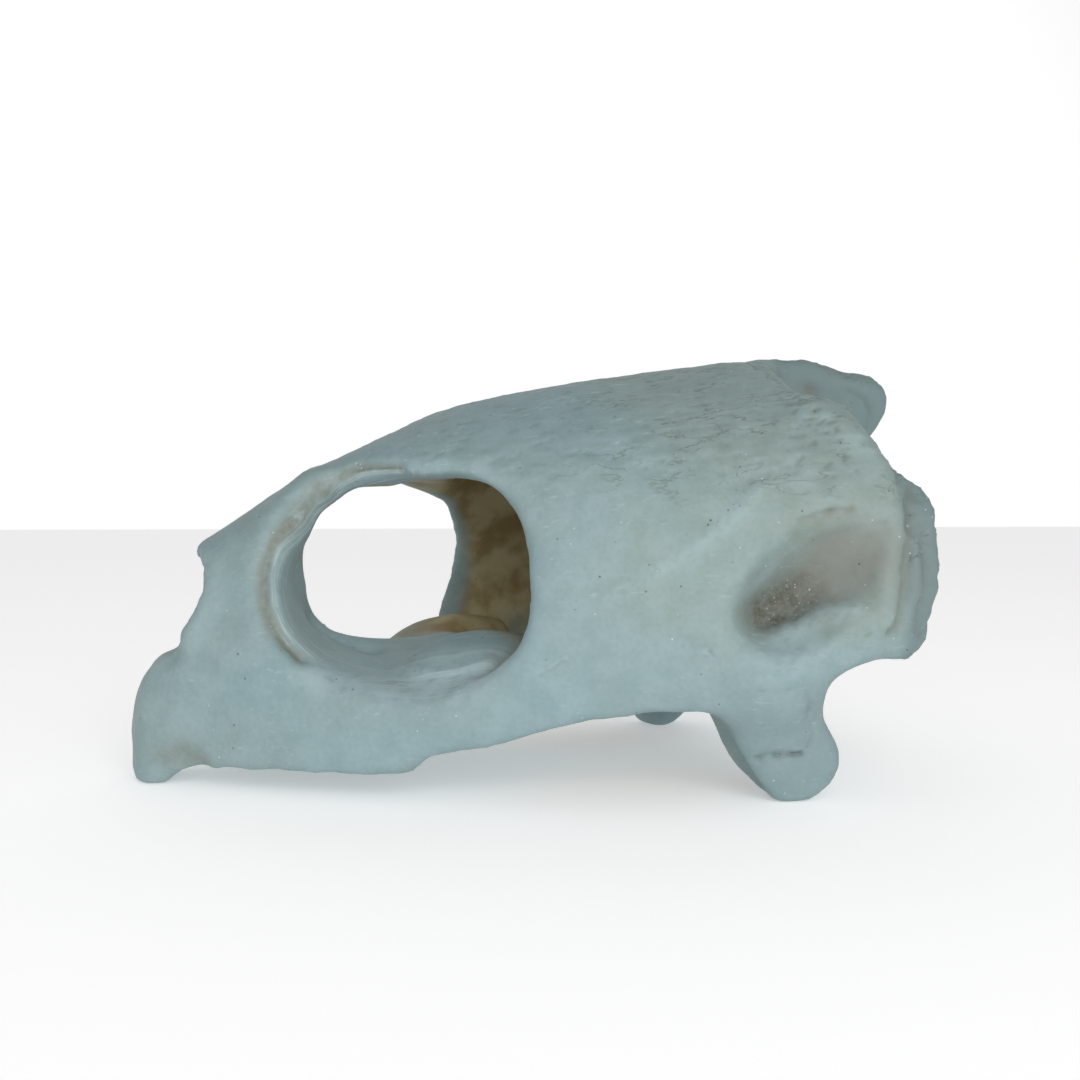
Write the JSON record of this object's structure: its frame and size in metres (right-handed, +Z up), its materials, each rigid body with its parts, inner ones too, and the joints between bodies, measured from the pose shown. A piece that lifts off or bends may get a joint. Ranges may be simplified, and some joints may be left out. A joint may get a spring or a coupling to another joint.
{
  "type": "sea turtle skull",
  "caption": "Sea turtle skull without its lower jaw: blunt beak, large round eye sockets, domed roof, ear hollows and a rear crest, resting on beak and jaw joints.",
  "frame": {"origin": "centre of the skull's box, at the level that the beak tip and the two jaw joints rest on", "axes": "+X from the beak to the rear crest, +Y to the animal's right side, +Z up"},
  "size_m": [0.1504, 0.0987, 0.0814],
  "materials": {
    "bone": "matte, finely pitted dry bone"
  },
  "bodies": {
    "root": {"premaxilla": "bone", "palate": "bone", "pterygoid": "bone", "braincase": "bone", "supraoccipital_crest": "bone", "maxilla_left": "bone", "maxilla_right": "bone", "prefrontal_left": "bone", "prefrontal_right": "bone", "frontal_left": "bone", "frontal_right": "bone", "parietal_left": "bone", "parietal_right": "bone", "postorbital_left": "bone", "postorbital_right": "bone", "jugal_left": "bone", "jugal_right": "bone", "quadratojugal_left": "bone", "quadratojugal_right": "bone", "squamosal_left": "bone", "squamosal_right": "bone", "quadrate_left": "bone", "quadrate_right": "bone"}
  },
  "joints": []
}
